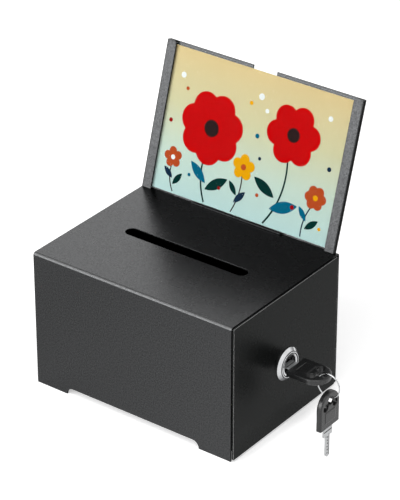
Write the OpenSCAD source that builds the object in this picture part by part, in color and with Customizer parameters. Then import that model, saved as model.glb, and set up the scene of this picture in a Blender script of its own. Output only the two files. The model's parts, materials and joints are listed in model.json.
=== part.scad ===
// Locking card box with a leaning sign holder on its back edge.
// Millimetres, +Z up. The origin is the shell's front left corner on the floor,
// +X runs to the door end and +Y runs to the back.

/* [Shell] */
// Length of the folded shell, without the door
shell_w = 157.8; // [150:0.2:240]
// Depth of the shell, front to back
shell_d = 117.4; // [112:0.2:180]
// Height from the floor to the top face
shell_h = 98; // [92:0.5:160]
// Thickness of the box's sheet steel
sheet_t = 1.2; // [0.8:0.1:1.4]
// Outside radius of every fold
fold_r = 2; // [1.7:0.1:3]

/* [Feet] */
// Length of each foot left at the ends of the front and back sheets
foot_w = 25; // [15:1:40]
// Height of the gap between the feet
foot_h = 5; // [4.5:0.1:5.6]

/* [Card slot] */
// Length of the slot over its round ends
slot_l = 97; // [60:1:120]
// Width of the slot
slot_w = 9.4; // [6:0.2:14]
// Middle of the slot, from the front face
slot_y = 59.8; // [40:0.2:75]
// How far left of the shell's middle the slot and the sign stand
mid_shift = 0.9; // [0:0.1:2]

/* [Left side and floor] */
// Width of the flanges that the left side and the floor are welded by
flange_w = 12; // [8:0.5:14]
// Height of the side's and the door's lower edges over the floor line
side_lift = 1.9; // [1:0.1:4]
// Underside of the floor pan
pan_z = 6; // [5.8:0.1:9]
// Height of the upstand that the cam hooks behind
strike_h = 13; // [11:0.5:16]

/* [Door] */
// Gap between the shell's end and the door
door_gap = 1; // [0.9:0.1:1.5]
// How far the door stops short of the back face, to leave room for the hinge
door_recess = 5.1; // [4.9:0.1:7]

/* [Hinge] */
// Outside radius of the knuckles
knuckle_r = 1.5; // [1.4:0.05:1.6]
// Radius of the hinge pin
pin_r = 0.8; // [0.6:0.05:0.9]
// Thickness of the hinge leaves
leaf_t = 0.8; // [0.6:0.05:0.85]
// Width of each leaf from the pin's axis
leaf_w = 16.5; // [12:0.5:18]
// Number of knuckles, odd
knuckle_n = 9; // [5:2:13]

/* [Lock] */
// Lock axis, from the front face
lock_y = 57.2; // [45:0.2:65]
// Lock axis, above the floor
lock_z = 45.2; // [44:0.2:60]
// Radius of the bezel at the door
bezel_r = 11.4; // [10.8:0.1:13]
// Height of the bezel over the door
bezel_h = 2.9; // [2:0.1:4]
// Radius of the bezel's flat front
lip_r = 9; // [8.8:0.1:9.8]
// Radius of the threaded barrel
barrel_r = 9; // [8.8:0.05:9.6]
// Width over the barrel's two flats
barrel_flat = 16.4; // [15.8:0.1:17]
// Radius of the plug below its cap
plug_r = 7; // [6.9:0.05:7.2]
// Radius of the plug's cap, which fills the bezel's lip
cap_r = 7.9; // [7.6:0.05:8.1]
// Thickness of that cap
cap_t = 1.8; // [1.2:0.1:2]
// Radius of the key mouth in the plug
mouth_r = 6.3; // [6.2:0.05:6.4]
// Depth of the key mouth
mouth_d = 3.4; // [2.8:0.1:5]
// Length of the cam from the lock's axis
cam_l = 34; // [30:0.5:36]
// Width of the cam
cam_w = 14; // [10:0.5:18]
// Thickness of the cam
cam_t = 2; // [1.5:0.1:2.5]

/* [Keys] */
// Width of the plastic head
head_w = 20.8; // [19:0.2:23]
// Length of the plastic head
head_l = 25.5; // [25:0.5:30]
// Thickness of the plastic head
head_t = 4; // [3.6:0.1:4.4]
// Width of the blade's shoulder
shoulder_w = 9; // [7:0.1:12]
// Length of the shoulder between the head and the blade
shoulder_l = 7.6; // [6.5:0.1:10]
// Width of the blade
blade_w = 3.4; // [3.2:0.1:7]
// Length of the blade past its shoulder
blade_l = 15.9; // [13:0.1:18]
// Thickness of the blade
blade_t = 1.4; // [1.2:0.1:2.1]
// Radius of the top lobe of the head's cut-out, where the ring hangs
hole_r = 3; // [2.6:0.05:3.2]
// Radius of the two side lobes
side_hole_r = 2.8; // [2:0.05:2.9]
// Width of the necks that join the lobes
neck_w = 2.4; // [1:0.1:3]

/* [Key ring] */
// Radius of the ring's wire centreline
ring_r = 8.4; // [8:0.1:10]
// Radius of the wire
wire_r = 0.45; // [0.35:0.05:0.55]
// Depth of the ring's centre under the first key
ring_drop = 4.3; // [3.8:0.1:4.6]

/* [Sign holder] */
// Width over the two channels
sign_w = 156.6; // [140:0.2:200]
// Length along the lean, from the shell's top
sign_l = 102.6; // [80:0.2:160]
// Angle that the sign leans back
sign_lean = 17.1; // [12:0.1:25]
// Thickness of the sign's sheet
sign_t = 1; // [0.8:0.1:1.2]
// Clear depth of the channels
pocket_d = 1.4; // [1.35:0.05:2]
// Front width of each channel
channel_w = 7.7; // [5:0.1:12]
// Distance of the sign's front foot from the back face
sign_inset = 4.2; // [4:0.1:5]
// Length of the tongue that the inserts stand on
tongue_l = 72; // [40:1:76]
// Width of the thumb notch
notch_w = 18.8; // [12:0.2:30]
// Depth of the thumb notch
notch_d = 8; // [5:0.5:15]
// Width of the two tabs that hold the sign inside the back sheet
tab_w = 14; // [8:1:16]
// Length of the tabs below the shell's top
tab_l = 20; // [16:1:30]
// Space between the tongue and each tab
tab_side = 3; // [2:0.5:6]
// Depth of the tabs' screws below the shell's top
tab_screw_drop = 12; // [8:0.5:14]

/* [Inserts] */
// Thickness of the clear cover
cover_t = 0.8; // [0.5:0.05:0.85]
// Thickness of the printed card
card_t = 0.4; // [0.2:0.05:0.45]
// How far the card stops short of the sign's top
card_short = 2.4; // [1.5:0.1:4]
// How far the cover stops short of the sign's top
cover_short = 1.1; // [0.5:0.1:1.4]

/* [Hidden] */
$fn = 64;

black_steel = "#2c2d2f";
bright_steel = "#c9cbcd";
black_plastic = "#1b1c1d";

seat = 0.05;      // gap between pieces that lie on each other
turn_gap = 0.3;   // gap round a piece that turns past another
run_gap = 0.05;   // radial gap of a running fit
eps = 0.01;
far = 400;

mid_x = shell_w / 2 - mid_shift;
inner_y = shell_d - sheet_t;      // inner face of the back sheet
inner_z = shell_h - sheet_t;      // inner face of the top sheet

door_in = shell_w + door_gap;     // inner face of the door
door_out = door_in + sheet_t;     // outer face of the door
door_d = shell_d - door_recess;

hinge_x = door_in - seat - knuckle_r;
hinge_y = inner_y - seat - knuckle_r;
hinge_foot_gap = 1.3;
hinge_top_gap = 2.8;
hinge_z0 = pan_z + sheet_t + hinge_foot_gap;
hinge_z1 = inner_z - hinge_top_gap;
knuckle_l = (hinge_z1 - hinge_z0) / knuckle_n;

// Lock lengths, counted from the door's outer face, positive outwards
plug_sink = 0.2;
plug_floor_t = 1.4;
plug_end_t = 0.8;
plug_core_r = 5.5;
key_tip_gap = 0.3;
keyway_gap = 0.2;
cam_gap = 0.2;
tail_out = 0.1;
tail_w = 6;
strike_gap = 0.7;
plug_face = bezel_h - plug_sink;
mouth_z = plug_face - mouth_d;
cap_z = plug_face - cap_t;
step_z = mouth_z - plug_floor_t;
keyway_z = mouth_z - blade_l - key_tip_gap;
barrel_z = keyway_z - plug_end_t;
cam_z = barrel_z - cam_gap - cam_t;
tail_z = cam_z - tail_out;
strike_x = shell_w - sheet_t;
tip_z = strike_x - strike_gap - door_out;
nut_t = 4;
nut_flat = 24;

// Key frame: +Z from the blade to the head, thickness on X, zero under the shoulder
head_r = head_w / 2;
head_z0 = shoulder_l;
dome_z = head_z0 + head_l - head_r;
ring_hole_up = 4;
side_hole_up = 0.7;
side_hole_y = 5.1;
ring_hole_z = dome_z + ring_hole_up;
side_hole_z = dome_z + side_hole_up;
edge_r = 1;
tang_l = 9;
tang_w = 8;

key_seat_x = door_out + mouth_z;
ring_side = 1.02;                 // wire to lobe centre, in the first key
hang_gap = 0.4;
ring_x = key_seat_x + ring_hole_z - ring_side + sqrt(pow(ring_r, 2) - pow(ring_drop, 2));
ring_z = lock_z - ring_drop;
key_b_z = ring_z - ring_r + wire_r + hang_gap - hole_r - ring_hole_z;

// Sign frame: x across, y (depth) backwards from the front face, z up along the lean
sign_y = shell_d - sign_inset;
sign_d = 2 * sign_t + pocket_d;
plate_y = sign_d - sign_t;
tongue_z = shell_h + 0.15;
insert_z = (tongue_z + sign_t + seat - shell_h + plate_y * sin(sign_lean)) / cos(sign_lean);
tab_x = (tongue_l + tab_w) / 2 + tab_side;
tab_z = shell_h - tab_l;
tab_screw_z = shell_h - tab_screw_drop;
tab_gap = 0.4;
screw_r = 1.45;
screw_hole_r = 1.6;
screw_tail = 3.6;      // screw's length past the sheet and the tab
screw_head_r = 2.8;
screw_head_h = 1.7;

// ---------- shared shapes ----------

// L section with its outer corner at the origin, legs a on x and b on y
module angle_2d(a, b, t, r) {
    translate([r, 0]) square([a - r, t]);
    translate([0, r]) square([t, b - r]);
    intersection() {
        square(r);
        translate([r, r]) difference() {
            circle(r);
            circle(r - t);
        }
    }
}

// Rectangle whose two upper corners are round
module arch_box_2d(w, h, r) {
    square([w, h - r]);
    translate([r, 0]) square([w - 2 * r, h]);
    for (x = [r, w - r]) translate([x, h - r]) circle(r);
}

// Stadium of length l and width w round the origin, along x
module stadium_2d(l, w) {
    square([l - w, w], center = true);
    for (s = [-1, 1]) translate([s * (l - w) / 2, 0]) circle(w / 2);
}

// Rectangle round the origin with its four corners round
module round_rect_2d(w, h, r) {
    square([w - 2 * r, h], center = true);
    square([w, h - 2 * r], center = true);
    for (x = [-1, 1], y = [-1, 1])
        translate([x * (w / 2 - r), y * (h / 2 - r)]) circle(r);
}

// Puts a shape drawn in the sign's own frame on the box
module on_sign() {
    translate([mid_x - sign_w / 2, sign_y, shell_h]) rotate([-sign_lean, 0, 0]) children();
}

// Turns a shape drawn along +Z round the lock's axis, from the door's outer face
module on_lock() {
    translate([door_out, lock_y, lock_z]) rotate([0, 90, 0]) children();
}

module at_key_a() {
    translate([key_seat_x, lock_y, lock_z]) rotate([0, 90, 0]) children();
}

module at_key_b() {
    translate([ring_x, lock_y, key_b_z]) children();
}

module at_tab_screws() {
    for (s = [-1, 1]) translate([mid_x + s * tab_x, 0, tab_screw_z]) children();
}

// ---------- box ----------

module foot_gap() {
    gap_l = shell_w - 2 * foot_w;
    translate([shell_w / 2, far / 2, 0]) rotate([90, 0, 0])
        linear_extrude(far) stadium_2d(gap_l, 2 * foot_h);
}

module shell() {
    color(black_steel) difference() {
        rotate([90, 0, 90]) linear_extrude(shell_w) difference() {
            arch_box_2d(shell_d, shell_h, fold_r);
            translate([sheet_t, -1])
                arch_box_2d(shell_d - 2 * sheet_t, inner_z + 1, fold_r - sheet_t);
        }
        foot_gap();
        translate([mid_x, slot_y, inner_z - 1]) linear_extrude(sheet_t + 2)
            stadium_2d(slot_l, slot_w);
        // notches in the back fold that the sign's tabs pass through
        for (s = [-1, 1])
            translate([mid_x + s * tab_x - tab_w / 2 - tab_gap, inner_y - sign_t - tab_gap,
                       shell_h - 3])
                cube([tab_w + 2 * tab_gap, far, 4]);
        at_tab_screws() translate([0, shell_d + 1, 0]) rotate([90, 0, 0])
            cylinder(r = screw_hole_r, h = sheet_t + 2);
    }
}

module left_side() {
    y0 = sheet_t + seat;
    y1 = inner_y - seat;
    z1 = inner_z - seat;
    leg = fold_r + 1;
    color(black_steel) {
        translate([0, y0 + fold_r, side_lift])
            cube([sheet_t, y1 - y0 - 2 * fold_r, z1 - fold_r - side_lift]);
        for (end = [0, 1])
            translate([0, end ? y1 : y0, side_lift]) mirror([0, end, 0])
                linear_extrude(z1 - fold_r - side_lift) angle_2d(flange_w, leg, sheet_t, fold_r);
        translate([0, y0 + fold_r, z1]) rotate([-90, 0, 0])
            linear_extrude(y1 - y0 - 2 * fold_r) angle_2d(flange_w, leg, sheet_t, fold_r);
    }
}

module floor_pan() {
    x0 = sheet_t + seat;
    y0 = sheet_t + seat;
    y1 = inner_y - seat;
    leg = fold_r + 1;
    side_gap = 1;
    hinge_gap = 2;
    weld_x0 = flange_w + side_gap;
    back_x1 = hinge_x - leaf_w - hinge_gap;
    strike_y1 = hinge_y - knuckle_r - hinge_gap;
    color(black_steel) {
        translate([x0 + fold_r, y0 + fold_r, pan_z])
            cube([shell_w - x0 - 2 * fold_r, y1 - y0 - 2 * fold_r, sheet_t]);
        // front and back flanges
        translate([weld_x0, y0, pan_z]) rotate([90, 0, 90])
            linear_extrude(shell_w - fold_r - weld_x0) angle_2d(leg, flange_w, sheet_t, fold_r);
        translate([weld_x0, y1, pan_z]) rotate([90, 0, 90])
            linear_extrude(back_x1 - weld_x0) mirror([1, 0])
                angle_2d(leg, flange_w, sheet_t, fold_r);
        // left flange
        translate([x0, y1 - fold_r, pan_z]) rotate([90, 0, 0])
            linear_extrude(y1 - y0 - 2 * fold_r) angle_2d(leg, flange_w, sheet_t, fold_r);
        // upstand under the door's cam
        translate([shell_w, strike_y1, pan_z]) rotate([90, 0, 0])
            linear_extrude(strike_y1 - y0 - fold_r) mirror([1, 0])
                angle_2d(leg, strike_h, sheet_t, fold_r);
    }
}

// ---------- hinge ----------

// Knuckles number first, first + 2 and so on
module knuckles(first) {
    for (i = [first : 2 : knuckle_n - 1])
        translate([hinge_x, hinge_y, hinge_z0 + i * knuckle_l + turn_gap / 2])
            cylinder(r = knuckle_r, h = knuckle_l - turn_gap);
}

module pin_bore() {
    translate([hinge_x, hinge_y, 0]) cylinder(r = pin_r + run_gap, h = far);
}

// Room for the other leaf's knuckles, which number first, first + 2 and so on
module knuckle_room(first) {
    side = 2 * (knuckle_r + turn_gap);
    for (i = [first : 2 : knuckle_n - 1])
        translate([hinge_x - side / 2, hinge_y - side / 2,
                   hinge_z0 + i * knuckle_l - turn_gap / 2])
            cube([side, side, knuckle_l + turn_gap]);
}

module hinge_fixed_leaf() {
    color(black_steel) difference() {
        union() {
            difference() {
                translate([hinge_x - leaf_w, hinge_y + knuckle_r - leaf_t, hinge_z0 + turn_gap / 2])
                    cube([leaf_w, leaf_t, hinge_z1 - hinge_z0 - turn_gap]);
                knuckle_room(1);
            }
            knuckles(0);
        }
        pin_bore();
    }
}

module hinge_door_leaf() {
    color(black_steel) difference() {
        union() {
            difference() {
                translate([hinge_x + knuckle_r - leaf_t, hinge_y - leaf_w, hinge_z0 + turn_gap / 2])
                    cube([leaf_t, leaf_w, hinge_z1 - hinge_z0 - turn_gap]);
                knuckle_room(0);
            }
            knuckles(1);
        }
        pin_bore();
    }
}

module hinge_pin() {
    color(bright_steel) translate([hinge_x, hinge_y, hinge_z0])
        cylinder(r = pin_r, h = hinge_z1 - hinge_z0);
}

// ---------- door and lock ----------

module barrel_2d(r, flat) {
    intersection() {
        circle(r);
        square([flat, 2 * r + 1], center = true);
    }
}

module door_panel() {
    corner_r = 0.6;
    hole_gap = 0.1;
    color(black_steel) difference() {
        translate([door_in, 0, side_lift]) rotate([90, 0, 90]) linear_extrude(sheet_t)
            translate([door_d / 2, (shell_h - side_lift) / 2])
                round_rect_2d(door_d, shell_h - side_lift, corner_r);
        on_lock() translate([0, 0, -sheet_t - 1]) linear_extrude(sheet_t + 2)
            barrel_2d(barrel_r + hole_gap, barrel_flat + 2 * hole_gap);
    }
}

module lock_housing() {
    rim = 0.5;
    round_r = 0.4;
    bevel = 0.25;
    color(bright_steel) on_lock() difference() {
        union() {
            rotate_extrude() {
                polygon([[0, seat], [bezel_r, seat], [bezel_r, rim],
                         [lip_r, bezel_h - round_r], [0, bezel_h - round_r]]);
                square([lip_r - round_r, bezel_h]);
                translate([lip_r - round_r, bezel_h - round_r]) circle(round_r);
            }
            translate([0, 0, barrel_z]) linear_extrude(seat + eps - barrel_z)
                barrel_2d(barrel_r, barrel_flat);
        }
        translate([0, 0, step_z - 2 * run_gap]) cylinder(r = plug_r + run_gap, h = far);
        translate([0, 0, -far / 2]) cylinder(r = plug_core_r + run_gap, h = far);
        translate([0, 0, cap_z - 2 * run_gap]) cylinder(r = cap_r + run_gap, h = far);
        // bevel round the bore's front edge
        translate([0, 0, bezel_h - bevel])
            cylinder(r1 = cap_r + run_gap, r2 = cap_r + run_gap + bevel, h = bevel + eps);
    }
}

module lock_nut() {
    bevel = 0.3;
    color(bright_steel) on_lock() translate([0, 0, -sheet_t - seat - nut_t]) difference() {
        intersection() {
            cylinder(r = nut_flat / 2 / cos(30), h = nut_t, $fn = 6);
            cylinder(r1 = nut_flat / 2 - bevel, r2 = nut_flat / 2 - bevel + nut_t, h = nut_t);
        }
        translate([0, 0, -1]) cylinder(r = barrel_r + run_gap, h = nut_t + 2);
    }
}

module lock_plug() {
    bevel = 0.3;
    screw_bore = 2.4;
    color(bright_steel) on_lock() difference() {
        union() {
            translate([0, 0, step_z]) cylinder(r = plug_r, h = cap_z + eps - step_z);
            translate([0, 0, cap_z]) cylinder(r = cap_r, h = cap_t - bevel);
            translate([0, 0, plug_face - bevel]) cylinder(r1 = cap_r, r2 = cap_r - bevel, h = bevel);
            translate([0, 0, barrel_z]) cylinder(r = plug_core_r, h = step_z - barrel_z + eps);
            translate([-tail_w / 2, -tail_w / 2, tail_z])
                cube([tail_w, tail_w, barrel_z - tail_z + eps]);
        }
        translate([0, 0, mouth_z]) cylinder(r = mouth_r, h = far);
        translate([0, 0, plug_face - bevel])
            cylinder(r1 = mouth_r, r2 = mouth_r + bevel, h = bevel + eps);
        translate([-blade_t / 2 - keyway_gap, -blade_w / 2 - keyway_gap, keyway_z])
            cube([blade_t + 2 * keyway_gap, blade_w + 2 * keyway_gap, far]);
        translate([0, 0, tail_z - 1]) cylinder(r = screw_hole_r, h = 1 + screw_bore);
    }
}

// Cranked strip that points forwards from the plug's tail
module lock_cam() {
    bend_0 = 13;
    bend_1 = 22;
    bend_in = cam_t / 2;
    corner_r = 2;
    color(bright_steel) on_lock() difference() {
        intersection() {
            translate([-cam_w / 2, 0, 0]) rotate([90, 0, 90]) linear_extrude(cam_w)
                polygon([[cam_w / 2, cam_z], [-bend_0, cam_z], [-bend_1, tip_z - cam_t],
                         [-cam_l, tip_z - cam_t], [-cam_l, tip_z], [-bend_1 + bend_in, tip_z],
                         [-bend_0 + bend_in, cam_z + cam_t], [cam_w / 2, cam_z + cam_t]]);
            translate([0, 0, cam_z - 1]) linear_extrude(tip_z - cam_z + 2) {
                circle(cam_w / 2);
                translate([-cam_w / 2, -bend_0]) square([cam_w, bend_0]);
                translate([0, corner_r - (cam_l + bend_0) / 2])
                    round_rect_2d(cam_w, cam_l - bend_0 + 2 * corner_r, corner_r);
            }
        }
        translate([-tail_w / 2 - seat, -tail_w / 2 - seat, cam_z - 1])
            cube([tail_w + 2 * seat, tail_w + 2 * seat, cam_t + 2]);
    }
}

module cam_screw() {
    shank_l = 2;
    washer_r = 5;
    washer_t = 0.8;
    head_r0 = 2.6;
    head_r1 = 3.2;
    head_h = 2;
    slot_h = 1;
    color(bright_steel) on_lock() translate([0, 0, tail_z - seat]) {
        cylinder(r = screw_r, h = shank_l);
        translate([0, 0, -washer_t]) cylinder(r = washer_r, h = washer_t);
        difference() {
            translate([0, 0, -washer_t - head_h])
                cylinder(r1 = head_r0, r2 = head_r1, h = head_h + eps);
            translate([-slot_h / 2, -head_r1 - 1, -washer_t - head_h - 1])
                cube([slot_h, 2 * head_r1 + 2, slot_h + 1]);
        }
    }
}

// ---------- keys ----------

module key_head() {
    round_z = head_t / 2 - edge_r;
    panel_foot = 4;
    panel_top = 1;
    panel_side = 4.75;
    panel_t = 0.25;
    panel_r = 0.8;
    neck_a = atan(side_hole_y / (ring_hole_z - side_hole_z));
    neck_l = norm([side_hole_y, ring_hole_z - side_hole_z]);
    panel_h = side_hole_z - side_hole_r - panel_top - head_z0 - panel_foot;
    difference() {
        union() {
            translate([0, 0, dome_z]) rotate([90, 0, 90]) rotate_extrude(angle = 180) {
                translate([0, -head_t / 2]) square([head_r - edge_r, head_t]);
                translate([0, -round_z]) square([head_r, 2 * round_z]);
                for (s = [-1, 1]) translate([head_r - edge_r, s * round_z]) circle(edge_r, $fn = 32);
            }
            translate([0, 0, head_z0]) linear_extrude(dome_z - head_z0)
                round_rect_2d(head_t, head_w, edge_r);
            // raised panel on both faces
            translate([0, 0, head_z0 + panel_foot + panel_h / 2]) rotate([0, 90, 0])
                linear_extrude(head_t + 2 * panel_t, center = true)
                    round_rect_2d(panel_h, head_w - 2 * panel_side, panel_r);
        }
        // three-lobed cut-out
        rotate([90, 0, 90]) translate([0, 0, -head_t]) linear_extrude(2 * head_t) {
            translate([0, ring_hole_z]) circle(hole_r);
            for (s = [-1, 1]) {
                translate([s * side_hole_y, side_hole_z]) circle(side_hole_r);
                translate([0, ring_hole_z]) rotate(-90 + s * neck_a)
                    translate([0, -neck_w / 2]) square([neck_l, neck_w]);
            }
        }
        // pocket for the tang
        translate([-blade_t / 2 - seat, -tang_w / 2 - seat, head_z0 - 1])
            cube([blade_t + 2 * seat, tang_w + 2 * seat, tang_l + 1 + seat]);
    }
}

module key_blade() {
    tip_l = 1;
    tip_in = 0.9;
    groove_y = 1.05;
    groove_w = 0.5;
    groove_d = 0.3;
    cross_z = 3.8;
    cross_w = 0.8;
    dimple_n = 6;
    dimple_r = 0.65;
    dimple_d = 0.35;
    dimple_y = 0.4;
    dimple_step = blade_l / (dimple_n + 0.6);
    difference() {
        union() {
            translate([-blade_t / 2, -tang_w / 2, head_z0 - 1]) cube([blade_t, tang_w, tang_l + 1]);
            translate([-blade_t / 2, -shoulder_w / 2, 0])
                cube([blade_t, shoulder_w, shoulder_l - seat]);
            translate([-blade_t / 2, 0, 0]) rotate([90, 0, 90]) linear_extrude(blade_t)
                polygon([[-blade_w / 2, 1], [-blade_w / 2, tip_l - blade_l],
                         [tip_in - blade_w / 2, -blade_l], [blade_w / 2 - tip_in, -blade_l],
                         [blade_w / 2, tip_l - blade_l], [blade_w / 2, 1]]);
        }
        for (s = [-1, 1]) {
            // milled groove along the blade
            translate([s * blade_t / 2, groove_y, -blade_l / 2 + 1])
                cube([2 * groove_d, groove_w, blade_l], center = true);
            // groove across the shoulder
            translate([s * blade_t / 2, 0, cross_z])
                cube([2 * groove_d, shoulder_w + 2, cross_w], center = true);
            // dimples in a row
            for (i = [0 : dimple_n - 1])
                translate([s * (blade_t / 2 + eps), -dimple_y - dimple_r / 2 * (i % 2),
                           -1.6 * dimple_r - i * dimple_step])
                    rotate([0, -90 * s, 0])
                        cylinder(r1 = dimple_r, r2 = dimple_r / 2, h = dimple_d);
        }
    }
}

module key_a_blade() {
    color(bright_steel) at_key_a() key_blade();
}

module key_a_head() {
    color(black_plastic) at_key_a() key_head();
}

module key_b_blade() {
    color(bright_steel) at_key_b() key_blade();
}

module key_b_head() {
    color(black_plastic) at_key_b() key_head();
}

module key_ring() {
    cut = 3;      // angle left open where the wire's ends meet
    color(bright_steel) translate([ring_x, lock_y, ring_z]) rotate([90, -20, 0])
        rotate_extrude(angle = 360 - cut) translate([ring_r, 0]) circle(wire_r, $fn = 24);
}

// ---------- sign ----------

// C section of the left channel, depth on y
module channel_2d() {
    r = 1.2;
    difference() {
        union() {
            translate([r, 0]) square([channel_w - r, sign_d]);
            translate([0, r]) square([r + eps, sign_d - 2 * r]);
            for (y = [r, sign_d - r]) translate([r, y]) circle(r);
        }
        translate([sign_t, sign_t]) square([channel_w, pocket_d]);
    }
}

// Front view of the plate with its thumb notch, cut through the whole depth
module plate_outline_2d() {
    corner_r = 1;
    notch_r = 2.5;
    difference() {
        translate([0, -5]) square([sign_w, sign_l + 5]);
        translate([sign_w / 2, sign_l]) round_rect_2d(notch_w, 2 * notch_d, notch_r);
        for (s = [0, 1]) translate([s ? sign_w : 0, sign_l]) mirror([s, 0]) difference() {
            translate([-1, -corner_r]) square([corner_r + 1, corner_r + 1]);
            translate([corner_r, -corner_r]) circle(corner_r);
        }
    }
}

module sign_body() {
    flange_r = 2.5;
    intersection() {
        union() {
            translate([channel_w - eps, plate_y, -5])
                cube([sign_w - 2 * channel_w + 2 * eps, sign_t, sign_l + 5]);
            for (s = [0, 1]) translate([s ? sign_w : 0, 0, -5]) mirror([s, 0, 0])
                difference() {
                    linear_extrude(sign_l + 5) channel_2d();
                    // round inner corner at the top of the front flange
                    translate([channel_w, -1, sign_l + 5]) rotate([-90, 0, 0])
                        linear_extrude(sign_t + 1.2) difference() {
                            translate([-flange_r, -1]) square([flange_r + 1, flange_r + 1]);
                            translate([-flange_r, flange_r]) circle(flange_r);
                        }
                }
        }
        translate([0, sign_d + 1, 0]) rotate([90, 0, 0]) linear_extrude(sign_d + 2)
            plate_outline_2d();
    }
}

// Side view of a tab: down the lean, then straight down the back sheet's inner face
module tab_2d() {
    outer_s = (inner_y - seat - sign_y - sign_d * cos(sign_lean)) / sin(sign_lean);
    inner_s = (inner_y - seat - sign_t - sign_y - plate_y * cos(sign_lean)) / sin(sign_lean);
    outer_z = shell_h + outer_s * cos(sign_lean) - sign_d * sin(sign_lean);
    inner_bend_z = shell_h + inner_s * cos(sign_lean) - plate_y * sin(sign_lean);
    top_s = 4;
    polygon([
        [inner_y - seat - sign_t, tab_z], [inner_y - seat, tab_z], [inner_y - seat, outer_z],
        [sign_y + top_s * sin(sign_lean) + sign_d * cos(sign_lean),
         shell_h + top_s * cos(sign_lean) - sign_d * sin(sign_lean)],
        [sign_y + top_s * sin(sign_lean) + plate_y * cos(sign_lean),
         shell_h + top_s * cos(sign_lean) - plate_y * sin(sign_lean)],
        [inner_y - seat - sign_t, inner_bend_z]
    ]);
}

module sign_frame() {
    tongue_y1 = sign_y + (plate_y + sign_t / 2) * cos(sign_lean);
    color(black_steel) difference() {
        union() {
            // channels and plate, trimmed level just over the top sheet
            difference() {
                on_sign() sign_body();
                translate([-far / 2, -far / 2, tongue_z - far]) cube(far);
            }
            translate([mid_x - tongue_l / 2, sign_y, tongue_z])
                cube([tongue_l, tongue_y1 - sign_y, sign_t]);
            for (s = [-1, 1]) translate([mid_x + s * tab_x - tab_w / 2, 0, 0])
                rotate([90, 0, 90]) linear_extrude(tab_w) tab_2d();
        }
        at_tab_screws() translate([0, shell_d, 0]) rotate([90, 0, 0])
            cylinder(r = screw_hole_r, h = sheet_t + sign_t + 2);
    }
}

module sign_screws() {
    bevel = 0.7;
    cross_l = 3;
    cross_w = 0.5;
    cross_d = 0.9;
    color(bright_steel) at_tab_screws() translate([0, shell_d + seat, 0]) rotate([90, 0, 0]) {
        cylinder(r = screw_r, h = sheet_t + sign_t + screw_tail);
        difference() {
            translate([0, 0, -screw_head_h]) {
                cylinder(r1 = screw_head_r - bevel, r2 = screw_head_r, h = bevel);
                translate([0, 0, bevel]) cylinder(r = screw_head_r, h = screw_head_h - bevel);
            }
            for (a = [0, 90]) rotate(a)
                translate([-cross_l / 2, -cross_w / 2, -screw_head_h - 1])
                    cube([cross_l, cross_w, cross_d + 1]);
        }
    }
}

module sign_nuts() {
    nut_af = 5.5;
    nut_h = 2.4;
    color(bright_steel) at_tab_screws()
        translate([0, inner_y - sign_t - 2 * seat, 0]) rotate([90, 0, 0]) difference() {
            cylinder(r = nut_af / 2 / cos(30), h = nut_h, $fn = 6);
            translate([0, 0, -1]) cylinder(r = screw_hole_r, h = nut_h + 2);
        }
}

module insert_sheet(depth, t, short) {
    side_gap = 0.3;
    side = sign_t + side_gap;
    on_sign() translate([side, depth, insert_z])
        cube([sign_w - 2 * side, t, sign_l - short - insert_z]);
}

module cover_sheet() {
    color("#e8f2f4") insert_sheet(sign_t + seat, cover_t, cover_short);
}

module print_card() {
    color("#e8d9a0") insert_sheet(plate_y - seat - card_t, card_t, card_short);
}

shell();
left_side();
floor_pan();
hinge_fixed_leaf();
hinge_pin();
sign_frame();
sign_screws();
sign_nuts();
door_panel();
hinge_door_leaf();
lock_housing();
lock_nut();
lock_plug();
lock_cam();
cam_screw();
key_a_blade();
key_a_head();
key_ring();
key_b_blade();
key_b_head();
cover_sheet();
print_card();
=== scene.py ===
import json
import math
import bpy
from mathutils import Matrix, Vector


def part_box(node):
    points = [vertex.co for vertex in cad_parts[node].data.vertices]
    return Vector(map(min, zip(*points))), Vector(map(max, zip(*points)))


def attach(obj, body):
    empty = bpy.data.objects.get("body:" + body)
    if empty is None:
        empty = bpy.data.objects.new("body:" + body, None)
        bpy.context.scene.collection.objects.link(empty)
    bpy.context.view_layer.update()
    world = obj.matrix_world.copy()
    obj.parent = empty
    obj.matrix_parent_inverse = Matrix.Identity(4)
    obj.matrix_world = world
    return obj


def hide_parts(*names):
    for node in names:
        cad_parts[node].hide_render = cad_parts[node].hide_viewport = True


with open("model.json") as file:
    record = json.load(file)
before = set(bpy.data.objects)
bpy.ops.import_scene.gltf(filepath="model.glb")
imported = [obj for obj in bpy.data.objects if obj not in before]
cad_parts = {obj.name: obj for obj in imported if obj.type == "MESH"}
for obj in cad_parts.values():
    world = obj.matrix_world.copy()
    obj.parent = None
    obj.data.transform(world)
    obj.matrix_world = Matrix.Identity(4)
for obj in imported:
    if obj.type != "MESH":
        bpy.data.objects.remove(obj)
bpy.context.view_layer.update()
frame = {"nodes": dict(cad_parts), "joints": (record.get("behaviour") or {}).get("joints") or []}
MM = 0.001


# ------------------------------------------------------------ helpers
def link(obj):
    bpy.context.scene.collection.objects.link(obj)
    return obj


def mesh_object(name, verts, faces, mats, face_mats=None):
    mesh = bpy.data.meshes.new(name)
    mesh.from_pydata([tuple(v) for v in verts], [], faces)
    mesh.update()
    for mat in mats:
        mesh.materials.append(mat)
    if face_mats:
        for polygon, index in zip(mesh.polygons, face_mats):
            polygon.material_index = index
    return link(bpy.data.objects.new(name, mesh))


def srgb(*levels):
    """Linear colour from screen levels of 0 to 255."""
    linear = []
    for level in levels:
        share = level / 255
        linear.append(share / 12.92 if share <= 0.04045 else ((share + 0.055) / 1.055) ** 2.4)
    return tuple(linear)


def grey(level):
    return (level, level, level)


def scaled(color, share):
    return tuple(share * level for level in color)


WHITE = grey(1.0)
SOFT_EDGE = 0.05 * MM
NOISE_RANGE = (0.3, 0.7)                # most of a noise's values lie between these


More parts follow.
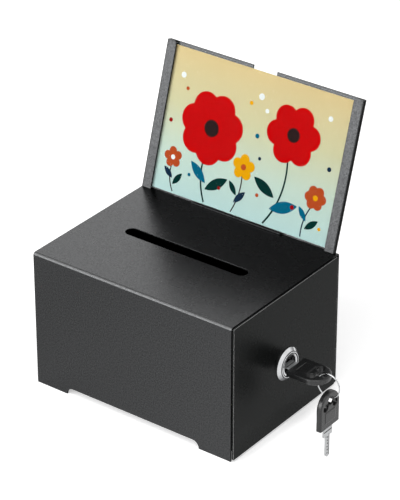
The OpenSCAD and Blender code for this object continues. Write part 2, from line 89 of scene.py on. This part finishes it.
class Nodes:
    """Short way to write the node tree of a new material or world."""

    def __init__(self, owner, output="ShaderNodeOutputMaterial"):
        owner.use_nodes = True
        self.owner = owner
        self.tree = owner.node_tree
        self.tree.nodes.clear()
        self.out = self.add(output)

    def put(self, value, socket):
        """Link another node's output to a socket, or set the socket to a plain value."""
        if isinstance(value, bpy.types.NodeSocket):
            self.tree.links.new(value, socket)
        else:
            socket.default_value = value

    def add(self, kind, *values, **settings):
        """Add a node. Values fill its inputs in order, settings its own fields or inputs by name."""
        node = self.tree.nodes.new(kind)
        for name, value in settings.items():
            if hasattr(node, name):
                setattr(node, name, value)
            else:
                self.put(value, node.inputs[name.replace("_", " ")])
        for value, socket in zip(values, node.inputs):
            self.put(value, socket)
        return node

    def point(self):
        """Place in the object's own frame, which is the CAD's."""
        return self.add("ShaderNodeTexCoord").outputs["Object"]

    def normal(self):
        return self.add("ShaderNodeNewGeometry").outputs["Normal"]

    def parts(self, vector):
        """A vector's outputs X, Y and Z."""
        return self.add("ShaderNodeSeparateXYZ", Vector=vector).outputs

    def toward(self, vector, direction):
        """How far a vector points in a fixed direction."""
        return self.add("ShaderNodeVectorMath", vector, direction,
                        operation="DOT_PRODUCT").outputs["Value"]

    def chain(self, operation, values):
        """Take several values through one Math operation in turn."""
        result = values[0]
        for value in values[1:]:
            result = self.add("ShaderNodeMath", result, value, operation=operation).outputs[0]
        return result

    def highest(self, *values):
        return self.chain("MAXIMUM", values)

    def product(self, *values):
        return self.chain("MULTIPLY", values)

    def span(self, value, start, end, low=0.0, high=1.0):
        """Go from low to high as the value goes from start to end, and stay level beyond."""
        return self.add("ShaderNodeMapRange", Value=value, From_Min=start, From_Max=end,
                        To_Min=low, To_Max=high).outputs["Result"]

    def band(self, value, low, high):
        """One from low to high, zero past a soft edge on each side."""
        return self.product(self.span(value, low - SOFT_EDGE, low),
                            self.span(value, high, high + SOFT_EDGE, 1.0, 0.0))

    def noise(self, scale, detail=3.0, rough=0.5, stretch=(1, 1, 1)):
        """Noise in the object's own frame, with about scale grains in a metre."""
        place = self.add("ShaderNodeMapping", Vector=self.point(), Scale=stretch)
        return self.add("ShaderNodeTexNoise", Vector=place.outputs["Vector"], Scale=scale,
                        Detail=detail, Roughness=rough).outputs["Fac"]

    def grained(self, grain, low, high):
        """Value that differs with the grain, from low to high."""
        return self.span(grain, *NOISE_RANGE, low, high)

    def ramp(self, value, *stops):
        """Colour by value, from stops of position and colour."""
        node = self.add("ShaderNodeValToRGB", Fac=value)
        elements = node.color_ramp.elements
        while len(elements) < len(stops):
            elements.new(0.5)
        for element, (position, color) in zip(elements, stops):
            element.position = position
            element.color = (*color, 1.0)
        return node.outputs["Color"]

    def mix(self, factor, first, second, blend="MIX"):
        """Blend a colour with a second one, which may be a plain colour."""
        if isinstance(second, tuple):
            second = (*second, 1.0)
        return self.add("ShaderNodeMix", data_type="RGBA", blend_type=blend, Factor=factor,
                        A=first, B=second).outputs["Result"]

    def cavity_shade(self, color, depth, shut, clear, dark):
        """Paint shade into a colour where walls within depth shut the surface in.

        It is darkest where no more than shut of the view is open, and untouched from clear up.
        """
        light = self.add("ShaderNodeAmbientOcclusion", samples=8, Distance=depth).outputs["AO"]
        return self.mix(1.0, color, self.ramp(light, (shut, grey(dark)), (clear, WHITE)),
                        "MULTIPLY")

    def bevel(self, radius, samples=4):
        """Normal that rounds the edges off."""
        return self.add("ShaderNodeBevel", samples=samples, Radius=radius).outputs["Normal"]

    def bump(self, height, strength, distance, normal=None):
        node = self.add("ShaderNodeBump", Height=height, Strength=strength, Distance=distance)
        if normal is not None:
            self.put(normal, node.inputs["Normal"])
        return node.outputs["Normal"]

    def shader(self, socket):
        """Use a shader as the surface, and return the finished material or world."""
        self.put(socket, self.out.inputs["Surface"])
        return self.owner

    def principled(self, **values):
        return self.shader(self.add("ShaderNodeBsdfPrincipled", **values).outputs["BSDF"])


def new_material(name):
    return Nodes(bpy.data.materials.new(name))


# ------------------------------------------------------------ camera
# fitted to the straight edges of the box in the photograph
CAMERA_TURN = math.radians(36.879)      # round the box, from the front towards the right end
CAMERA_RISE = math.radians(29.544)      # above the horizon
CAMERA_ROLL = math.radians(-0.063)
CAMERA_PLACE = Vector((943.38, -1078.80, 909.72)) * MM
FOCAL_PIXELS = 2557.92
PHOTO_HEIGHT_PIXELS = 500.0
SENSOR_MM = 36.0


def add_camera():
    backward = Vector((math.sin(CAMERA_TURN) * math.cos(CAMERA_RISE),
                       -math.cos(CAMERA_TURN) * math.cos(CAMERA_RISE), math.sin(CAMERA_RISE)))
    level = Vector((math.cos(CAMERA_TURN), math.sin(CAMERA_TURN), 0.0))
    upright = backward.cross(level)
    across = level * math.cos(CAMERA_ROLL) + upright * math.sin(CAMERA_ROLL)
    upward = -level * math.sin(CAMERA_ROLL) + upright * math.cos(CAMERA_ROLL)
    data = bpy.data.cameras.new("camera")
    data.sensor_fit = "AUTO"
    data.sensor_width = SENSOR_MM
    data.lens = FOCAL_PIXELS / PHOTO_HEIGHT_PIXELS * SENSOR_MM
    data.clip_start = 0.05
    data.clip_end = 20.0
    camera = link(bpy.data.objects.new("camera", data))
    turn = Matrix((across, upward, backward)).transposed().to_4x4()
    camera.matrix_world = Matrix.Translation(CAMERA_PLACE) @ turn
    bpy.context.scene.camera = camera


add_camera()
bpy.context.scene.view_settings.view_transform = "Standard"

# ------------------------------------------------------------ powder coat
COAT_TINT = (0.95, 0.97, 1.0)
COAT_EDGE = 0.45 * MM                   # how far the coat rounds the sheets' edges
COAT_SPREAD = 0.38                      # share by which the grains' shine differs
FOLD_HIGHLIGHT_FACING = (0.0, -0.7071, 0.7071)    # facing of the painted highlight, the middle of the fold from front to top
EDGE_HIGHLIGHT_FACING = (0.5, -0.7, 0.5)          # edges leaning this way, forward and as far right as up, get a painted highlight


def fold_highlight_mask(n):
    """Where the surface faces as the middle of the fold does: the strip that gets a painted
    highlight.
    """
    return n.span(n.toward(n.normal(), FOLD_HIGHLIGHT_FACING), 0.82, 0.95)


def edge_highlight_mask(n, soft):
    """Where the rounding of an edge turns the surface that way: the edges that get a painted
    highlight.
    """
    lean = n.add("ShaderNodeVectorMath", soft, n.normal(), operation="SUBTRACT")
    return n.span(n.toward(lean.outputs["Vector"], EDGE_HIGHLIGHT_FACING), 0.02, 0.16)


def powder_coat(name, shine, base=1.0, shaded_right_shine=1.0, tint=COAT_TINT, fold_highlight_grey=0.0,
                edge_highlight_grey=0.0):
    """Fine black powder coat.

    shine is the grains' mean specular level, and shaded_right_shine its share on faces that look
    right, which paints shade on that side. base scales the colour. fold_highlight_grey and
    edge_highlight_grey are the greys of the painted highlight along the fold and of the painted
    highlights on edges, for a sheet that has them.
    """
    n = new_material(name)
    grain = n.noise(1100.0, detail=2.0, rough=0.6)
    soft = n.bevel(COAT_EDGE, samples=6)
    tone = n.ramp(grain, (0.25, scaled((0.0014, 0.0017, 0.0016), base)),
                  (0.60, scaled((0.0024, 0.0028, 0.0027), base)),
                  (0.85, scaled((0.0070, 0.0077, 0.0075), base)))
    # a pale strip along the fold: a painted highlight
    if fold_highlight_grey:
        tone = n.mix(fold_highlight_mask(n), tone, grey(fold_highlight_grey))
    # pale edges that lean towards the light: painted highlights
    if edge_highlight_grey:
        tone = n.mix(edge_highlight_mask(n, soft), tone, grey(edge_highlight_grey))
    level = n.span(grain, 0.35, 0.65, shine * (1 - COAT_SPREAD), shine * (1 + COAT_SPREAD))
    # less shine on faces that look right: painted shade on that side
    if shaded_right_shine < 1.0:
        facing = n.parts(n.normal())["X"]
        level = n.product(level, n.span(facing, 0.6, 0.9, 1.0, shaded_right_shine))
    return n.principled(Base_Color=tone, Specular_IOR_Level=level, Specular_Tint=(*tint, 1.0),
                        Roughness=n.grained(n.noise(60.0), 0.268, 0.278),
                        Normal=n.bump(grain, 0.4, 0.08 * MM, soft))


# copies of one black coat: base, shine and tint differ only to paint the light and shade that the
# sheets, the shell and the door each show
coat = powder_coat("powder_black", 0.57, shaded_right_shine=0.1)
shell_coat = powder_coat("shell_powder_black", 0.61, base=0.5, shaded_right_shine=0.15,
                         fold_highlight_grey=0.09)
door_coat = powder_coat("door_powder_black", 0.08, base=2.0, tint=(0.92, 1.0, 0.96),
                        edge_highlight_grey=0.50)

# ------------------------------------------------------------ metals
METAL_EDGE = 0.15 * MM
METAL_GRAIN = 0.03 * MM
CHROME = (0.76, 0.77, 0.78)
ZINC = (0.62, 0.64, 0.66)
STEEL = (0.72, 0.73, 0.74)


def clouded(n, color):
    """A metal's colour, a little darker in clouds."""
    return n.ramp(n.noise(250.0, detail=2.0), (0.3, scaled(color, 0.88)), (0.7, color))


def metal(name, color, rough, grain_scale, stretch=(1, 1, 1), bump=0.1, edge=METAL_EDGE,
          metallic=1.0, painted_shade_depth=0.0):
    """Plain metal. rough is a pair, and painted_shade_depth says how near a wall paints shade on it.
    """
    n = new_material(name)
    grain = n.noise(grain_scale, rough=0.6, stretch=stretch)
    tone = clouded(n, color)
    # painted shade in hollows, such as the key blades' dimples and groove
    if painted_shade_depth:
        tone = n.cavity_shade(tone, painted_shade_depth, 0.80, 0.985, 0.02)
    return n.principled(Base_Color=tone, Metallic=metallic,
                        Roughness=n.grained(grain, *rough),
                        Normal=n.bump(grain, bump, METAL_GRAIN, n.bevel(edge)))


zinc = metal("zinc_steel", ZINC, (0.26, 0.42), 900.0, bump=0.15)
steel = metal("key_steel", STEEL, (0.28, 0.42), 300.0, stretch=(8, 8, 1), bump=0.12,
              metallic=0.65, painted_shade_depth=1.0 * MM)
wire = metal("ring_wire", STEEL, (0.18, 0.28), 900.0, bump=0.05, edge=0.05 * MM)

# the lock turns about this line, which starts at the door's outer face
DOOR_FACE, LOCK_Y, LOCK_Z = next(joint["pos_m"] for joint in frame["joints"]
                                 if joint["name"] == "plug_turn")
# rings of painted shade in the gaps round the lock's axis: inner and outer radius
HOUSING_GROOVE_SHADE = ((7.9 * MM, 8.3 * MM), (9.0 * MM, 9.3 * MM))
PLUG_GROOVE_SHADE = ((7.65 * MM, 8.0 * MM),)
MOUTH_SHADE_RADIUS = 6.5 * MM                 # the painted shade in the mouth reaches a little past the CAD's mouth
MOUTH_DEPTH = 3.4 * MM
MOUTH_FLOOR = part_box("lock_plug")[1][0] - MOUTH_DEPTH
UNDERSIDE_SHADE_FACING = (0.0, 0.2, -0.98)


def lock_metal(name, groove_shade, mouth=False):
    """Bright metal with painted shade on faces that look down and in rings round the lock's axis.

    With mouth set, painted shade lies on the floor of the plug's mouth as well.
    """
    n = new_material(name)
    place = n.parts(n.point())
    flat = n.add("ShaderNodeCombineXYZ", Y=place["Y"], Z=place["Z"]).outputs["Vector"]
    radius = n.add("ShaderNodeVectorMath", flat, (0.0, LOCK_Y, LOCK_Z),
                   operation="DISTANCE").outputs["Value"]
    # painted shade, near black and not metal, in the rings and on the mouth's floor
    shade_marks = [n.band(radius, inner, outer) for inner, outer in groove_shade]
    if mouth:
        floor = n.span(place["X"], MOUTH_FLOOR + 0.2 * MM, MOUTH_FLOOR + 1.0 * MM, 1.0, 0.0)
        shade_marks.append(n.product(floor, n.band(radius, 0.0, MOUTH_SHADE_RADIUS)))
    dark = n.highest(*shade_marks)
    # faces that look down get painted shade
    underside_shade = n.span(n.toward(n.normal(), UNDERSIDE_SHADE_FACING), 0.05, 0.42)
    tone = n.mix(underside_shade, clouded(n, CHROME), (0.20, 0.20, 0.21), "MULTIPLY")
    tone = n.mix(dark, tone, (0.012, 0.012, 0.013))
    grain = n.noise(700.0, rough=0.6)
    # and painted shade in hollows
    return n.principled(Base_Color=n.cavity_shade(tone, 1.2 * MM, 0.25, 0.8, 0.15),
                        Metallic=n.span(dark, 0.0, 1.0, 1.0, 0.0),
                        Specular_IOR_Level=n.span(dark, 0.0, 1.0, 0.5, 0.1),
                        Roughness=n.grained(grain, 0.12, 0.20),
                        Normal=n.bump(grain, 0.05, METAL_GRAIN, n.bevel(METAL_EDGE)))


chrome = lock_metal("lock_chrome", HOUSING_GROOVE_SHADE)
plug_chrome = lock_metal("plug_chrome", PLUG_GROOVE_SHADE, mouth=True)

# ------------------------------------------------------------ keys' plastic
# painted highlights on the edges of the raised panels: from and to on x, y and z in mm, then how
# pale
KEY_A_HIGHLIGHTS = (((170.8, 171.2), (51.9, 62.5), (47.2, 48.0), 0.30),)
KEY_B_HIGHLIGHTS = (((194.2, 195.0), (51.9, 62.7), (15.1, 15.4), 0.12),
              ((194.2, 195.0), (62.6, 62.9), (15.1, 22.7), 0.12))


def key_plastic(name, highlights):
    """Black plastic with pale lines of painted highlight."""
    n = new_material(name)
    tone = n.ramp(n.noise(180.0, detail=2.0), (0.3, (0.011, 0.0115, 0.012)),
                  (0.7, (0.017, 0.0175, 0.018)))
    place = n.parts(n.point())
    # pale lines on the panels' edges: painted highlights
    for x_span, y_span, z_span, pale in highlights:
        line = n.product(*(n.band(place[axis], low * MM, high * MM)
                           for axis, (low, high) in zip("XYZ", (x_span, y_span, z_span))))
        tone = n.mix(line, tone, grey(pale))
    grain = n.noise(2500.0, detail=2.0, rough=0.6)
    return n.principled(Base_Color=tone, Specular_IOR_Level=0.75,
                        Roughness=n.grained(grain, 0.24, 0.32),
                        Normal=n.bump(grain, 0.12, 0.03 * MM, n.bevel(0.8 * MM, samples=6)))


plastic_a = key_plastic("key_a_plastic", KEY_A_HIGHLIGHTS)
plastic_b = key_plastic("key_b_plastic", KEY_B_HIGHLIGHTS)

# ------------------------------------------------------------ card and cover
PAPER_GRAIN = 0.03 * MM


def card_stock(foot, top):
    """Card with a front that is graded from foot to top, and a plain back."""
    n = new_material("card_stock")
    height = n.span(n.parts(n.point())["Z"], foot, top)
    front = n.ramp(height, (0.0, srgb(187, 215, 212)), (0.30, srgb(196, 212, 197)),
                   (0.62, srgb(207, 200, 159)), (1.0, srgb(217, 190, 137)))
    backward = n.parts(n.add("ShaderNodeTexCoord").outputs["Normal"])["Y"]
    tone = n.mix(n.span(backward, -0.2, 0.2), front, (0.80, 0.80, 0.78))
    fibre = n.noise(900.0, rough=0.6)
    fleck = n.ramp(fibre, (0.3, grey(0.965)), (0.7, WHITE))
    return n.principled(Base_Color=n.mix(1.0, tone, fleck, "MULTIPLY"), Specular_IOR_Level=0.06,
                        Roughness=n.grained(fibre, 0.42, 0.55),
                        Normal=n.bump(fibre, 0.06, PAPER_GRAIN))


def ink(name, color):
    """Printing ink that lies a little unevenly on the card's fibres."""
    n = new_material("ink_" + name)
    fibre = n.noise(900.0, rough=0.6)
    density = n.span(n.chain("ADD", (fibre, n.noise(25.0, detail=2.0))), 0.6, 1.4)
    return n.principled(Base_Color=n.ramp(density, (0.2, scaled(color, 0.90)), (0.8, color)),
                        Specular_IOR_Level=0.01,
                        Roughness=n.grained(fibre, 0.40, 0.52),
                        Normal=n.bump(fibre, 0.05, PAPER_GRAIN))


def clear_face():
    """Clear sheet, slightly wavy, that mirrors more at a flat angle."""
    n = new_material("clear_cover")
    wave = n.bump(n.noise(12.0, detail=1.0), 0.04, 0.4 * MM)
    clear = n.add("ShaderNodeBsdfTransparent", Color=(0.97, 0.985, 0.985, 1.0))
    gloss = n.add("ShaderNodeBsdfGlossy", Roughness=0.06, Normal=wave)
    angle = n.add("ShaderNodeFresnel", IOR=1.035, Normal=wave)
    both = n.add("ShaderNodeMixShader", angle.outputs["Fac"], clear.outputs["BSDF"],
                 gloss.outputs["BSDF"])
    return n.shader(both.outputs["Shader"])


def clear_edge():
    """The sheet's cut edge, milky and half clear: partly its own frosting, partly a painted
    highlight for the light a clear edge carries.
    """
    n = new_material("cover_edge")
    # pale tone, in part a painted highlight
    tone = n.ramp(n.noise(700.0, detail=2.0), (0.3, (0.62, 0.70, 0.70)),
                  (0.7, (0.80, 0.86, 0.86)))
    return n.principled(Base_Color=tone, Roughness=0.25, Alpha=0.55)


card_low, card_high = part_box("print_card")
card = card_stock(card_low[2], card_high[2])

# ------------------------------------------------------------ the CAD nodes' looks
LOOK = {
    "shell": shell_coat, "left_side": coat, "floor_pan": coat, "hinge_fixed_leaf": coat,
    "sign_frame": coat, "door_panel": door_coat, "hinge_door_leaf": door_coat,
    "hinge_pin": zinc, "sign_screws": zinc, "sign_nuts": zinc, "lock_nut": zinc,
    "lock_cam": zinc, "cam_screw": zinc, "lock_housing": chrome, "lock_plug": plug_chrome,
    "key_ring": wire, "key_a_blade": steel, "key_b_blade": steel,
    "key_a_head": plastic_a, "key_b_head": plastic_b, "print_card": card,
}
for name, mat in LOOK.items():
    for slot in frame["nodes"][name].material_slots:
        slot.material = mat

# ------------------------------------------------------------ the sign's own frame, in mm
LEAN = math.radians(17.1)
SIGN_X, SIGN_Y = (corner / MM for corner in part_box("sign_frame")[0][:2])
SIGN_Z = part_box("shell")[1][2] / MM
CARD_DEPTH = 1.95                       # the card's front face
INK_LIFT = 0.012                        # the first printed shape, in front of the card
INK_STEP = 0.0006                       # each later shape, in front of the one before
COVER_X = (1.3, 155.3)                  # the clear sheet, as the CAD's cover_sheet lies
COVER_RISE = (2.0, 101.5)
COVER_DEPTH = (1.05, 1.85)
COVER_CORNER = 1.5
CORNER_STEPS = 6


def on_sign(x, rise, depth):
    """Point on the sign: across from its left end, up the lean, and back from its front."""
    return Vector((SIGN_X + x, SIGN_Y + depth * math.cos(LEAN) + rise * math.sin(LEAN),
                   SIGN_Z + rise * math.cos(LEAN) - depth * math.sin(LEAN))) * MM


# ------------------------------------------------------------ printed design
INKS = {
    "red": srgb(198, 2, 4), "deep_red": srgb(150, 4, 6), "rust": srgb(184, 74, 34),
    "mustard": srgb(234, 162, 2), "navy": srgb(22, 44, 66), "teal": srgb(2, 98, 128),
    "green": srgb(2, 46, 42), "brown": srgb(40, 26, 26), "white": srgb(240, 240, 238),
}

# large poppies, small garden flowers and leaves: places and sizes in mm on the sign
STEMS = (   # foot x and rise, tip x and rise, bow, width, ink
    (50, 3.2, 46, 40, 4, 1.3, "green"), (98, 3.2, 108, 50, -5, 1.3, "green"),
    (72, 3.2, 76, 30, -2, 0.9, "brown"), (128, 3.2, 133, 26, 2, 0.9, "navy"),
    (24, 3.2, 20, 22, 2, 0.9, "brown"))
LEAVES = (  # foot x and rise, length, width, degrees, ink
    (49, 12, 20, 7, 35, "green"), (48.5, 16, 18, 6.5, 140, "teal"),
    (101, 14, 22, 8, 20, "teal"), (103, 22, 20, 7, 152, "green"),
    (73, 10, 12, 4.5, 50, "navy"), (74, 15, 11, 4, 130, "green"),
    (130, 9, 12, 4.5, 40, "green"), (130, 14, 11, 4, 130, "teal"),
    (23, 8, 11, 4.2, 55, "green"), (22, 12, 10, 4, 140, "navy"))
BLOOMS = (  # x and rise, radius, petals, ink, heart's ink, turn in radians
    (46, 53, 24, 7, "red", "brown", 0.25), (109, 66, 20, 6, "red", "brown", 0.1),
    (76, 35, 8.5, 5, "mustard", "rust", 0.3), (134, 31, 8, 6, "rust", "mustard", 0.0),
    (20, 26, 7, 5, "rust", "white", 0.5))
DOTS = (    # x and rise, radius, ink
    (80, 84, 2.2, "white"), (86, 76, 1.5, "white"), (73, 78, 1.4, "mustard"),
    (140, 52, 1.6, "navy"), (134, 84, 1.8, "white"), (17, 82, 2.0, "white"),
    (22, 74, 1.3, "rust"), (82, 58, 1.6, "teal"), (90, 20, 1.3, "rust"),
    (60, 16, 1.3, "deep_red"), (118, 20, 1.5, "deep_red"), (141, 12, 1.2, "mustard"),
    (35, 18, 1.2, "teal"), (13, 50, 1.5, "deep_red"), (87, 44, 1.2, "navy"))
STEM_STEPS = 14
LEAF_STEPS = 20
LEAF_POWER = 0.85                       # below one makes a leaf fuller than a sine
PETAL_SIDES, FACE_SIDES, HEART_SIDES, DOT_SIDES = 40, 48, 36, 28
# shares of a bloom's radius
PETAL_OUT, PETAL_SIZE, FACE_SIZE, HEART_SIZE = 0.62, 0.42, 0.62, 0.24


class Print:
    """Flat shapes of ink on the card, each a hair in front of the one before."""

    def __init__(self):
        self.verts = []
        self.faces = []
        self.face_inks = []

    def shape(self, points, color):
        first = len(self.verts)
        depth = CARD_DEPTH - INK_LIFT - INK_STEP * len(self.faces)
        self.verts.extend(on_sign(x, rise, depth) for x, rise in points)
        self.faces.append(list(range(first, first + len(points))))
        self.face_inks.append(list(INKS).index(color))

    def disc(self, x, rise, radius, color, sides):
        angles = [2 * math.pi * i / sides for i in range(sides)]
        self.shape([(x + radius * math.cos(a), rise + radius * math.sin(a)) for a in angles],
                   color)

    def leaf(self, x, rise, length, width, turn, color):
        rim = []
        for side, steps in ((1, range(LEAF_STEPS + 1)), (-1, range(LEAF_STEPS - 1, 0, -1))):
            for i in steps:
                along = i / LEAF_STEPS
                half = width / 2 * math.sin(math.pi * along) ** LEAF_POWER
                rim.append((length * along, side * half))
        c, s = math.cos(turn), math.sin(turn)
        self.shape([(x + a * c - b * s, rise + a * s + b * c) for a, b in rim], color)

    def bloom(self, x, rise, radius, petals, color, heart, turn):
        for i in range(petals):
            angle = turn + 2 * math.pi * i / petals
            self.disc(x + PETAL_OUT * radius * math.cos(angle),
                      rise + PETAL_OUT * radius * math.sin(angle),
                      PETAL_SIZE * radius, color, PETAL_SIDES)
        self.disc(x, rise, FACE_SIZE * radius, color, FACE_SIDES)
        self.disc(x, rise, HEART_SIZE * radius, heart, HEART_SIDES)

    def stem(self, x0, rise0, x1, rise1, bow, width, color):
        """Strip of even width on a bowed line."""
        length = math.hypot(x1 - x0, rise1 - rise0)
        bow_x, bow_rise = -(rise1 - rise0) / length, (x1 - x0) / length
        line = []
        for i in range(STEM_STEPS + 1):
            t = i / STEM_STEPS
            off = 4 * bow * t * (1 - t)
            line.append((x0 + (x1 - x0) * t + bow_x * off,
                         rise0 + (rise1 - rise0) * t + bow_rise * off))
        left, right = [], []
        for i, (x, rise) in enumerate(line):
            before = line[max(0, i - 1)]
            after = line[min(STEM_STEPS, i + 1)]
            run, climb = after[0] - before[0], after[1] - before[1]
            step = math.hypot(run, climb)
            side_x, side_rise = -climb / step * width / 2, run / step * width / 2
            left.append((x + side_x, rise + side_rise))
            right.append((x - side_x, rise - side_rise))
        for i in range(STEM_STEPS):
            self.shape([left[i], left[i + 1], right[i + 1], right[i]], color)


def print_design():
    sheet = Print()
    for stem in STEMS:
        sheet.stem(*stem)
    for x, rise, length, width, degrees, color in LEAVES:
        sheet.leaf(x, rise, length, width, math.radians(degrees), color)
    for bloom in BLOOMS:
        sheet.bloom(*bloom)
    for dot in DOTS:
        sheet.disc(*dot, DOT_SIDES)
    inks = [ink(name, color) for name, color in INKS.items()]
    return mesh_object("print_design", sheet.verts, sheet.faces, inks, sheet.face_inks)


design = print_design()
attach(design, "card")


# ------------------------------------------------------------ clear cover
def cover_piece():
    """Clear sheet with round corners, and edges of their own material."""
    (x0, x1), (rise0, rise1) = COVER_X, COVER_RISE
    near, far = COVER_DEPTH
    r = COVER_CORNER
    rim = []
    for x, rise, start in ((x1 - r, rise1 - r, 0), (x0 + r, rise1 - r, 90),
                           (x0 + r, rise0 + r, 180), (x1 - r, rise0 + r, 270)):
        for k in range(CORNER_STEPS + 1):
            angle = math.radians(start + 90 / CORNER_STEPS * k)
            rim.append((x + r * math.cos(angle), rise + r * math.sin(angle)))
    count = len(rim)
    verts = [on_sign(x, rise, depth) for depth in (near, far) for x, rise in rim]
    faces = [list(range(count)), list(range(2 * count - 1, count - 1, -1))]
    for i in range(count):
        following = (i + 1) % count
        faces.append([i, i + count, following + count, following])
    return mesh_object("clear_sheet", verts, faces, [clear_face(), clear_edge()],
                       [0, 0] + [1] * count)


cover = cover_piece()
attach(cover, "cover")
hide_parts("cover_sheet")
# keeps the print's colours out of the black sheets' reflections
for sheet in (design, frame["nodes"]["print_card"], cover):
    sheet.visible_glossy = False

# ------------------------------------------------------------ table and ground
TABLE_EDGE = DOOR_FACE + 16 * MM        # the keys hang beside the table
EDGE_FADE = 14 * MM
TABLE_END = 3.0
GROUND_END = 4.0
FEET_GAP = 0.05 * MM
GROUND_Z = -0.12
GROUND_T = 5 * MM
TABLE_GLOW = 0.50                       # to the camera, away from the table's right edge
TABLE_MIRRORED = 0.46                   # in reflections, at the right end of the rise
MIRRORED_RISE = (-60 * MM, 140 * MM)
FAR_GLOW = 1.0
FAR_MIRRORED = 0.75


def lit_white(n, color, ray, seen, mirrored):
    """Matt white that glows: seen is its light to the camera, mirrored that in reflections."""
    matt = n.add("ShaderNodeBsdfPrincipled", Base_Color=color, Roughness=0.9,
                 Specular_IOR_Level=0.2)
    light = n.highest(n.product(ray["Is Camera Ray"], seen),
                      n.product(ray["Is Glossy Ray"], mirrored))
    glow = n.add("ShaderNodeEmission", Color=(*WHITE, 1.0), Strength=light)
    both = n.add("ShaderNodeAddShader", matt.outputs["BSDF"], glow.outputs["Emission"])
    return n.shader(both.outputs["Shader"])


def stage_tone(n, color):
    return n.ramp(n.noise(6.0, detail=2.0), (0.0, scaled(color, 0.99)), (1.0, color))


def table_white():
    """White table top that grows brighter to the right, both to the camera and in reflections."""
    n = new_material("table_white")
    ray = n.add("ShaderNodeLightPath").outputs
    x = n.parts(n.point())["X"]
    fade = TABLE_EDGE - EDGE_FADE
    seen = n.span(x, fade, TABLE_EDGE, TABLE_GLOW, FAR_GLOW)
    mirrored = n.highest(n.span(x, fade, TABLE_EDGE, 0.0, FAR_MIRRORED),
                         n.span(x, *MIRRORED_RISE, 0.0, TABLE_MIRRORED))
    color = n.mix(ray["Is Glossy Ray"], stage_tone(n, grey(0.93)), grey(0.80), "MULTIPLY")
    return lit_white(n, color, ray, seen, mirrored)


def far_white():
    """Ground and table sides, white to the camera."""
    n = new_material("far_white")
    ray = n.add("ShaderNodeLightPath").outputs
    return lit_white(n, stage_tone(n, grey(0.25)), ray, FAR_GLOW, FAR_MIRRORED)


def slab(name, x_span, y_span, z_span, mats, face_mats=None):
    """Block with its faces in the order low x, high x, low y, high y, bottom, top."""
    verts = [(x, y, z) for x in x_span for y in y_span for z in z_span]
    faces = [(0, 1, 3, 2), (4, 6, 7, 5), (0, 4, 5, 1), (2, 3, 7, 6), (0, 2, 6, 4), (1, 5, 7, 3)]
    return mesh_object(name, verts, faces, mats, face_mats)


far_mat = far_white()
table = slab("table", (-TABLE_END, TABLE_EDGE), (-TABLE_END, TABLE_END), (GROUND_Z, -FEET_GAP),
             [table_white(), far_mat], [0, 1, 1, 1, 1, 0])
ground = slab("ground", (TABLE_EDGE, GROUND_END), (-TABLE_END, TABLE_END),
              (GROUND_Z - GROUND_T, GROUND_Z), [far_mat])

# ------------------------------------------------------------ world and lights
FILL = 0.42                             # what the world adds to matt surfaces
LIGHTS_AIM = Vector((0.08, 0.06, 0.06))


def studio_world():
    """World that is plain white to the camera.

    Glossy and clear surfaces see it dimmer low down behind the object, and again high up.
    """
    world = bpy.data.worlds.new("studio")
    bpy.context.scene.world = world
    n = Nodes(world, "ShaderNodeOutputWorld")
    ray = n.add("ShaderNodeLightPath").outputs
    way = n.parts(n.add("ShaderNodeTexCoord").outputs["Generated"])
    low = n.span(way["Z"], 0.05, 0.30, 0.25, 1.0)
    front = n.span(way["Y"], -0.1, 0.5, 1.0, 0.0)
    high = n.span(way["Z"], 0.50, 0.70, 1.0, 0.40)
    level = n.highest(n.product(n.highest(low, front), high), ray["Is Camera Ray"])
    seen = n.add("ShaderNodeBackground", Color=(*WHITE, 1.0), Strength=level)
    fill = n.add("ShaderNodeBackground", Color=(*WHITE, 1.0), Strength=FILL)
    sharp = n.highest(ray["Is Camera Ray"], ray["Is Glossy Ray"], ray["Is Transmission Ray"])
    both = n.add("ShaderNodeMixShader", sharp, fill.outputs["Background"],
                 seen.outputs["Background"])
    n.shader(both.outputs["Shader"])


def softbox(name, toward, distance, size, radiance):
    """White area light that looks at the object, and gives the same radiance at any size."""
    direction = Vector(toward).normalized()
    width, height = size
    data = bpy.data.lights.new(name, "AREA")
    data.shape = "RECTANGLE"
    data.size = width
    data.size_y = height
    data.energy = radiance * width * height * math.pi
    light = link(bpy.data.objects.new(name, data))
    light.location = LIGHTS_AIM + direction * distance
    light.rotation_euler = (-direction).to_track_quat("-Z", "Y").to_euler()


studio_world()
softbox("key_front_left", (-0.47, -0.88, 0.27), distance=1.5, size=(1.4, 0.9), radiance=4.1)
softbox("top_back_left", (-0.60, 0.62, 0.62), distance=1.5, size=(0.9, 0.9), radiance=0.8)
softbox("overhead", (0.34, -0.40, 1.0), distance=1.5, size=(1.0, 1.0), radiance=2.0)
softbox("fold_light", (-0.52, -0.49, 0.69), distance=1.6, size=(0.5, 0.5), radiance=4.5)
